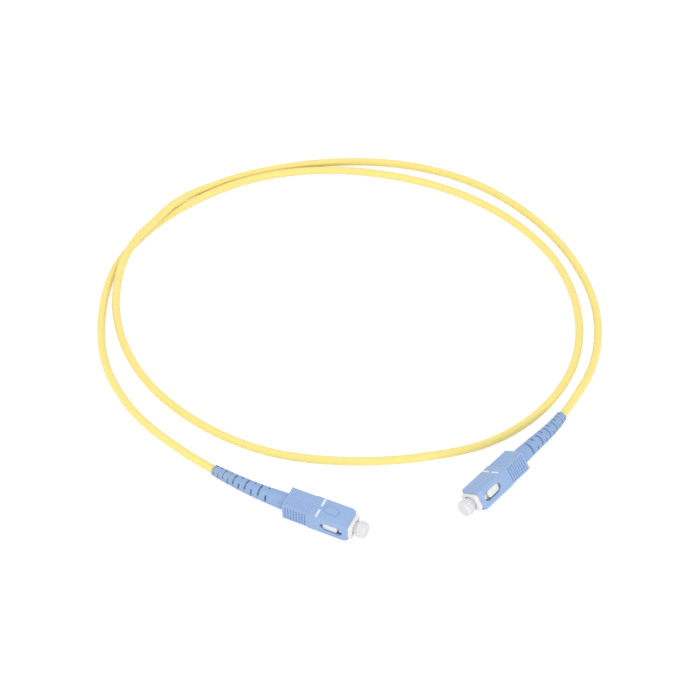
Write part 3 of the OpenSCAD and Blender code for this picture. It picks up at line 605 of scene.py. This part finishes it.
def plug_frame(name):
    bar = round_bar(-FRAME_REAR, FRAME_NOSE, FRAME_W, FRAME_H, FRAME_BEVEL, BEVEL_STEPS)
    ob = mesh_object(name, *bar)
    half, lug_z, lug_y = FRAME_W / 2, FRAME_H / 2 + LUG_H, LUG_W / 2
    carve(ob, box(-LUG_X - LUG_L, -LUG_X, -lug_y, lug_y, -lug_z, lug_z), "UNION")
    # the bore, narrower at the seat of the ferrule's flange
    carve(ob, rod(-SEAT_FRONT, FRAME_NOSE + PAST, FRAME_BORE / 2))
    carve(ob, rod(-SEAT_REAR, LAP - SEAT_FRONT, SEAT_BORE / 2))
    carve(ob, rod(-FRAME_REAR - PAST, -SEAT_REAR, FRAME_BORE / 2))
    # the channels for an adapter's hooks, and the openings that the stop ring snaps into
    for s in (-1, 1):
        y = on_side(s, half - CHANNEL_DEPTH, half + PAST)
        carve(ob, box(-CHANNEL_END, -CHANNEL_X, *y, -THROUGH, THROUGH))
    snap = SNAP_W / 2
    carve(ob, box(-SNAP_X - SNAP_L, -SNAP_X + OVER, -snap, snap, -THROUGH, THROUGH))
    # in each channel: the latch ridge in front, then a low base and the rail on it
    base, low, top, high = half - BASE_IN, half - LOW_IN, half + RIDGE_OUT, half + RAIL_OUT
    ridge = [
        (-RIDGE_X, base), (-RIDGE_X, low), (-RIDGE_FOOT, low),
        (-RIDGE_TOP, top), (-RIDGE_END, top), (-RIDGE_END, base),
    ]
    rail = slanted(RAIL_X, RAIL_END, RAIL_H, RAIL_TIP, RAIL_NOSE, RAIL_SLANT)
    sunk = 0.05
    for s in (-1, 1):
        mirrored = [(x, s * y) for x, y in ridge]
        carve(ob, prism(mirrored, -RIDGE_W / 2, RIDGE_W / 2, "z"), "UNION")
        carve(ob, box(
            -CHANNEL_END - sunk, sunk - RAIL_END, *on_side(s, base, low),
            -RAIL_BASE_H / 2, RAIL_BASE_H / 2,
        ), "UNION")
        carve(ob, prism(rail, *on_side(s, base, high), "y"), "UNION")
    soften(ob, FRAME_SOFT)
    return ob


# ---------- dust cap ----------

def cap_profile():
    """Rows (radius, x, share of the flutes) from the bore's front end round to the face."""
    front, neck, head, hole = CAP_X + CAP_L, NECK_D / 2, CAP_D / 2, CAP_BORE / 2
    rows = [(hole - 0.1, CAP_BORE_END, 0), (hole, CAP_BORE_END - 0.1, 0)]
    rows += [(hole, 0.05 - NECK_REAR, 0), (hole + 0.06, -NECK_REAR, 0)]
    rows += [(neck - 0.1, -NECK_REAR, 0), (neck, 0.1 - NECK_REAR, 0)]
    rows += [(neck, x, 0) for x in (-1.5, 0.5, CAP_X - 0.2)]
    rows += [(neck + 0.08, CAP_X - 0.04, 0), (neck + 0.2, CAP_X, 0), (head - 0.4, CAP_X, 0.3)]
    r, steps = CAP_BACK_R, 4
    for k in range(1, steps + 1):
        a = math.pi / 2 * k / steps
        rows.append((
            head - r * (1 - math.sin(a)), CAP_X + r * (1 - math.cos(a)), 0.3 + 0.7 * k / steps,
        ))
    rows += [(head, CAP_X + x, 1) for x in (0.8, 1.2, 1.6, 2.0, 2.3)]
    r, steps = CAP_FRONT_R, 7
    for k in range(1, steps + 1):
        a = math.pi / 2 * k / steps
        rows.append((
            head - r * (1 - math.cos(a)), front - r * (1 - math.sin(a)), max(0, 1 - k / 5),
        ))
    return rows + [(head - 1.1, front, 0), (1.0, front - 0.03, 0)]


def dust_cap(name):
    profile = cap_profile()
    n, m = FLUTES * FLUTE_STEPS, len(profile)
    verts = []
    for r, x, share in profile:
        for k in range(n):
            a = k * math.tau / n
            cut = FLUTE_DEPTH * share * (0.5 + 0.5 * math.cos(FLUTES * a)) ** 3
            verts.append((x, (r - cut) * math.cos(a), (r - cut) * math.sin(a)))
    # the bore's bottom and the face close on a point each
    verts += [(CAP_BORE_END + 0.02, 0, 0), (CAP_X + CAP_L - 0.05, 0, 0)]
    faces = bands(m, n)
    for k in range(n):
        faces.append(((k + 1) % n, k, n * m))
        faces.append(((m - 1) * n + k, (m - 1) * n + (k + 1) % n, n * m + 1))
    return mesh_object(name, verts, faces)


# ---------- boot ----------

BOOT_SIDES = 96
# step to a neighbour (rows, sides), and the two corners of a face that border on it
NEIGHBOURS = ((-1, 0, 0, 1), (1, 0, 2, 3), (0, 1, 1, 2), (0, -1, 3, 0))


def boot_rows(slip):
    """Rows (place, outer radius, inner radius, slot that starts here or None)."""
    crimp, cord, bore = CRIMP_ROOM_D / 2, CORD_ROOM_D / 2, BOOT_BORE / 2
    front, tail = BOOT_FRONT + slip, SLEEVE_L + BOOT_L + slip
    rows = []

    def outer(s):
        t = max(0, s - slip - BOOT_ROOT) / (SLEEVE_L + BOOT_L - BOOT_ROOT)
        return (BOOT_D + (BOOT_TIP_D - BOOT_D) * t) / 2

    def add(s, inner, wide_at, dip=0, slot=None):
        rows.append((s, outer(wide_at) - dip, inner, slot))

    add(front, crimp, 0, 0.1)
    add(front + 0.1, crimp, 0)
    for s in (front + 0.6, SLEEVE_L, BOOT_ROOT, JACKET_X):
        add(s, crimp, s)
    add(JACKET_X + 0.4, crimp, JACKET_X)
    add(JACKET_X + 0.5, cord, JACKET_X)
    add(BEND_X - 0.1, cord, BEND_X)
    add(BEND_X, bore, BEND_X)
    last, edge = BEND_X, LIP[0][0]
    for i in range(SLOT_N):
        s = SLEEVE_L + SLOT_X + slip + SLOT_PITCH * i - SLOT_SHRINK / 2 * i * i
        a, b = s - SLOT_W / 2, s + SLOT_W / 2
        stretch = a - edge - last
        if stretch > ROW_GAP:
            for k in (1, 2):
                q = last + stretch * k / 3
                add(q, bore, q)
        for gap, dip in LIP:
            add(a - gap, bore, a, dip, None if gap else i)
        for gap, dip in LIP[::-1]:
            add(b + gap, bore, b, dip)
        last = b + edge
    add(tail - 0.25, bore, tail)
    add(tail - 0.08, bore, tail, 0.06)
    add(tail, bore + 0.02, tail, 0.2)
    return rows


def boot(name, plug):
    """Tapered boot on its bent centre line, with a wall left out at each slot but for two webs."""
    n, rows, verts, faces = BOOT_SIDES, boot_rows(plug["slip"]), [], []
    for s, ro, ri, _ in rows:
        at, to = on_boot(plug, s)
        yaw, pitch = math.atan2(-to.y, -to.x), math.asin(to.z)
        turn = Matrix.Rotation(yaw, 3, "Z") @ Matrix.Rotation(pitch, 3, "Y")
        for r in (ro, ri):
            for k in range(n):
                a = math.radians(plug["turn"]) + k * math.tau / n
                verts.append(at + turn @ Vector((0, r * math.cos(a), r * math.sin(a))))

    def solid(i, k):
        if i < 0 or i >= len(rows) - 1:
            return False
        slot = rows[i][3]
        if slot is None:
            return True
        off = (k + 0.5) * 360 / n - 90 * ((slot + 1) % 2)
        return min(off % 180, -off % 180) < WEB_HALF

    def corners(i, k, layer):
        places = ((i, k), (i, k + 1), (i + 1, k + 1), (i + 1, k))
        return [(2 * row + layer) * n + side % n for row, side in places]

    for i in range(len(rows) - 1):
        for k in range(n):
            if not solid(i, k):
                continue
            o, q = corners(i, k, 0), corners(i, k, 1)
            faces.append(tuple(o))
            faces.append(tuple(q[::-1]))
            for di, dk, e0, e1 in NEIGHBOURS:
                if not solid(i + di, (k + dk) % n):
                    faces.append((o[e1], o[e0], q[e0], q[e1]))
    return mesh_object(name, verts, faces)


# ---------- spring ----------

def spring(name):
    """Turns of wire that lie closer together at both ends."""
    front, rear, r = SPRING_X + WIRE_D / 2, SPRING_END - WIRE_D / 2, SPRING_D / 2
    line, n = [], TURNS * TURN_STEPS
    for i in range(n + 1):
        t = i / n
        a = t * TURNS * math.tau
        ease = t - EASE * math.sin(math.tau * t)
        line.append(Vector((-(front + (rear - front) * ease), r * math.cos(a), r * math.sin(a))))
    return mesh_object(name, *sweep(line, WIRE_D / 2, WIRE_SIDES))


# ---------- both plugs ----------

for side, plug in PLUGS.items():
    m = plug_matrix(plug)
    shell = f"coupling_sleeve_{side}"
    settle(sleeve(f"housing_{side}"), m, 40, shell, BLUE, [f"sleeve_{side}"])
    settle(marks(f"marks_{side}"), m, 40, shell, MARK, [])
    settle(
        plug_frame(f"inner_frame_{side}"), m, 40,
        "cord_set", WHITE, [f"plug_frame_{side}"],
    )
    settle(dust_cap(f"clear_cap_{side}"), m, 50, f"cap_{side}", CAP, [f"dust_cap_{side}"])
    settle(
        boot(f"bend_boot_{side}", plug), plug_matrix(plug, False), 40,
        "cord_set", BOOT, [f"boot_{side}"],
    )
    coil = settle(
        spring(f"coil_{side}"), m, 60, "cord_set", STEEL, [f"spring_{side}"],
    )
    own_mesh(coil)


# ---------- floor, world and lamps ----------

FLOOR_HALF, FLOOR_Z = 4.0, -0.1 * MM
PAPER, GLOW = (0.3, 0.3, 0.3, 1), 0.8  # what the camera sees: white but for the shadow
LIT = (0.93, 0.93, 0.93, 1)            # what the object gets back from the floor
WORLD_LIGHT, WORLD_SEEN = 0.9, 1.0
LAMP_AIM = (0, 0.05, 0)


def seen_ray(nt):
    """1 on camera, glossy and transmission rays, which find the white background."""
    path = nt.nodes.new("ShaderNodeLightPath")
    found = path.outputs["Is Camera Ray"]
    for kind in ("Is Glossy Ray", "Is Transmission Ray"):
        either = nt.nodes.new("ShaderNodeMath")
        either.operation = "MAXIMUM"
        nt.links.new(found, either.inputs[0])
        nt.links.new(path.outputs[kind], either.inputs[1])
        found = either.outputs[0]
    return found


def add_floor():
    s, z = FLOOR_HALF, FLOOR_Z
    me = bpy.data.meshes.new("floor")
    me.from_pydata([(-s, -s, z), (s, -s, z), (s, s, z), (-s, s, z)], [], [(0, 1, 2, 3)])
    floor = bpy.data.objects.new("floor", me)
    scene.collection.objects.link(floor)
    mat = bpy.data.materials.new("floor")
    mat.use_nodes = True
    nt = mat.node_tree
    nt.nodes.remove(nt.nodes["Principled BSDF"])
    paper = nt.nodes.new("ShaderNodeBsdfDiffuse")
    paper.inputs["Color"].default_value = PAPER
    glow = nt.nodes.new("ShaderNodeEmission")
    glow.inputs["Strength"].default_value = GLOW
    seen = nt.nodes.new("ShaderNodeAddShader")
    nt.links.new(paper.outputs[0], seen.inputs[0])
    nt.links.new(glow.outputs[0], seen.inputs[1])
    lit = nt.nodes.new("ShaderNodeBsdfDiffuse")
    lit.inputs["Color"].default_value = LIT
    pick = nt.nodes.new("ShaderNodeMixShader")
    nt.links.new(seen_ray(nt), pick.inputs[0])
    nt.links.new(lit.outputs[0], pick.inputs[1])
    nt.links.new(seen.outputs[0], pick.inputs[2])
    nt.links.new(pick.outputs[0], nt.nodes["Material Output"].inputs["Surface"])
    me.materials.append(mat)


def add_world():
    world = bpy.data.worlds.new("world")
    scene.world = world
    world.use_nodes = True
    nt = world.node_tree
    back = nt.nodes["Background"]
    back.inputs["Color"].default_value = (1, 1, 1, 1)
    strength = nt.nodes.new("ShaderNodeMapRange")
    strength.inputs["To Min"].default_value = WORLD_LIGHT
    strength.inputs["To Max"].default_value = WORLD_SEEN
    nt.links.new(seen_ray(nt), strength.inputs["Value"])
    nt.links.new(strength.outputs["Result"], back.inputs["Strength"])


def add_lamp(name, place, size, watts):
    data = bpy.data.lights.new(name, "AREA")
    data.shape, data.size, data.energy = "DISK", size, watts
    lamp = bpy.data.objects.new(name, data)
    scene.collection.objects.link(lamp)
    lamp.location = place
    aim = Vector(LAMP_AIM) - Vector(place)
    lamp.rotation_euler = aim.to_track_quat("-Z", "Y").to_euler()


add_floor()
add_world()
add_lamp("key", (-0.5, -0.35, 1.1), 0.7, 2.6)
add_lamp("fill", (0.4, -1.0, 0.5), 0.6, 2.8)
